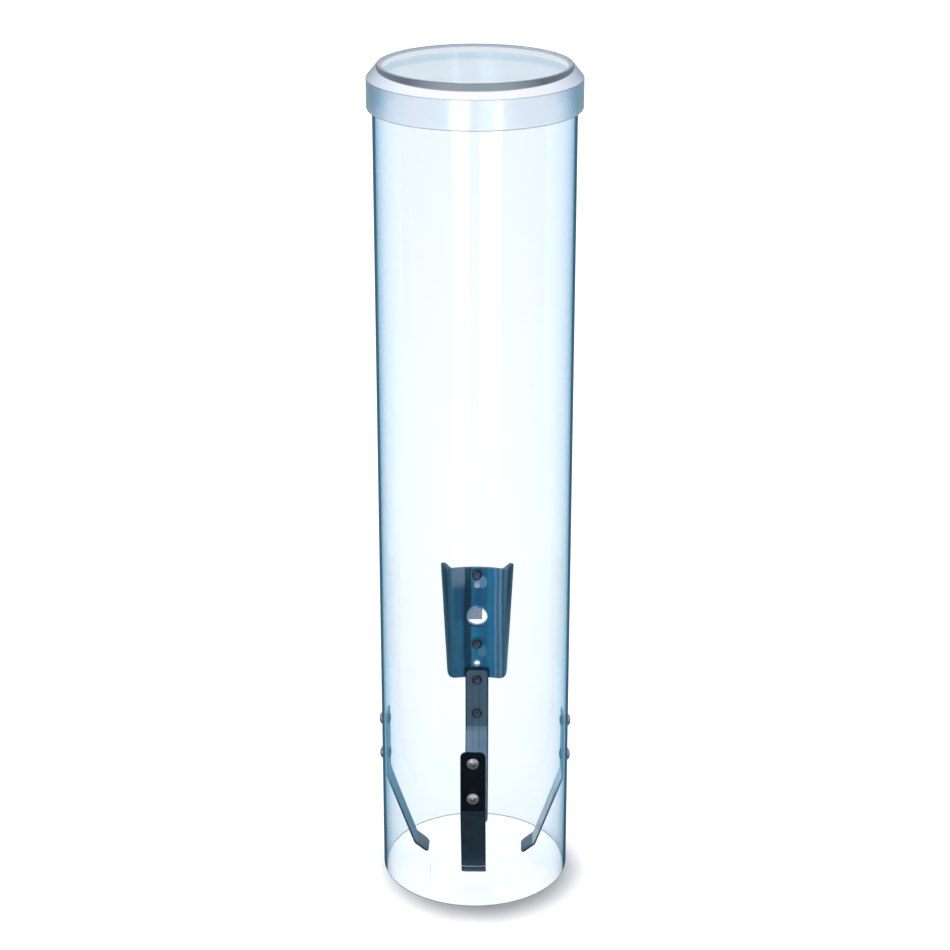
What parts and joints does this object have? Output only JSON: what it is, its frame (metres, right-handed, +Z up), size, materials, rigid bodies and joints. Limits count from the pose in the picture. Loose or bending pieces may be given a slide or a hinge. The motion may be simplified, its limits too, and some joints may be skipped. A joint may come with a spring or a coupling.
{
  "type": "cup dispenser",
  "caption": "Wall-mounted clear blue tube that holds a stack of cups, with a frosted lift-off cap, a saddle wall bracket and sprung fingers round its open lower end.",
  "frame": {"origin": "middle of the footprint of the whole part at floor level; the tube's axis stands 3.1 mm in front of it", "axes": "+Z up along the tube, +Y toward the wall, +X to the right as seen from the front"},
  "size_m": [0.0972, 0.1034, 0.4064],
  "materials": {
    "clear_blue_plastic": "clear, pale blue, polished",
    "frosted_plastic": "frosted, slightly blue",
    "deep_blue_plastic": "clear, deep blue, polished",
    "foam_tape": "fine closed foam",
    "label_film": "clear film",
    "finger_plastic": "smoky, faint lengthwise grain",
    "rivet_metal": "satin",
    "pin_steel": "broken steel pin"
  },
  "bodies": {
    "tube": {"tube": "clear_blue_plastic", "mounting_bracket": "deep_blue_plastic", "foam_tape_pad": "foam_tape", "clear_label": "label_film", "finger_base_front": "finger_plastic", "finger_base_right": "finger_plastic", "finger_base_back": "finger_plastic", "finger_base_left": "finger_plastic", "finger_front_rivet_upper": "rivet_metal", "finger_front_rivet_lower": "rivet_metal", "finger_right_rivet_upper": "rivet_metal", "finger_right_rivet_lower": "rivet_metal", "finger_back_rivet_upper": "rivet_metal", "finger_back_rivet_lower": "rivet_metal", "finger_left_rivet_upper": "rivet_metal", "finger_left_rivet_lower": "rivet_metal", "bracket_rivet_upper": "rivet_metal", "bracket_rivet_lower": "rivet_metal", "finger_front_pin_upper": "pin_steel", "finger_front_pin_lower": "pin_steel", "finger_right_pin_upper": "pin_steel", "finger_right_pin_lower": "pin_steel", "finger_back_pin_upper": "pin_steel", "finger_back_pin_lower": "pin_steel", "finger_left_pin_upper": "pin_steel", "finger_left_pin_lower": "pin_steel", "bracket_pin_upper": "pin_steel", "bracket_pin_lower": "pin_steel"},
    "cap": {"cap": "frosted_plastic"},
    "finger_front": {"finger_tongue_front": "finger_plastic"},
    "finger_right": {"finger_tongue_right": "finger_plastic"},
    "finger_back": {"finger_tongue_back": "finger_plastic"},
    "finger_left": {"finger_tongue_left": "finger_plastic"}
  },
  "joints": [
    {"name": "cap_lift", "type": "slide", "parent": "tube", "child": "cap", "axis": [0, 0, 1], "range_m": [0, 0.03]},
    {"name": "finger_front_flex", "type": "hinge", "parent": "tube", "child": "finger_front", "pos_m": [0, -0.04651, 0.05], "axis": [-1, 0, 0], "range_deg": [-4, 17], "stiffness_Nm_per_rad": 0.1},
    {"name": "finger_right_flex", "type": "hinge", "parent": "tube", "child": "finger_right", "pos_m": [0.04343, -0.00308, 0.05], "axis": [0, -1, 0], "range_deg": [-4, 17], "stiffness_Nm_per_rad": 0.1},
    {"name": "finger_back_flex", "type": "hinge", "parent": "tube", "child": "finger_back", "pos_m": [0, 0.04036, 0.05], "axis": [1, 0, 0], "range_deg": [-4, 17], "stiffness_Nm_per_rad": 0.1},
    {"name": "finger_left_flex", "type": "hinge", "parent": "tube", "child": "finger_left", "pos_m": [-0.04343, -0.00308, 0.05], "axis": [0, 1, 0], "range_deg": [-4, 17], "stiffness_Nm_per_rad": 0.1}
  ]
}
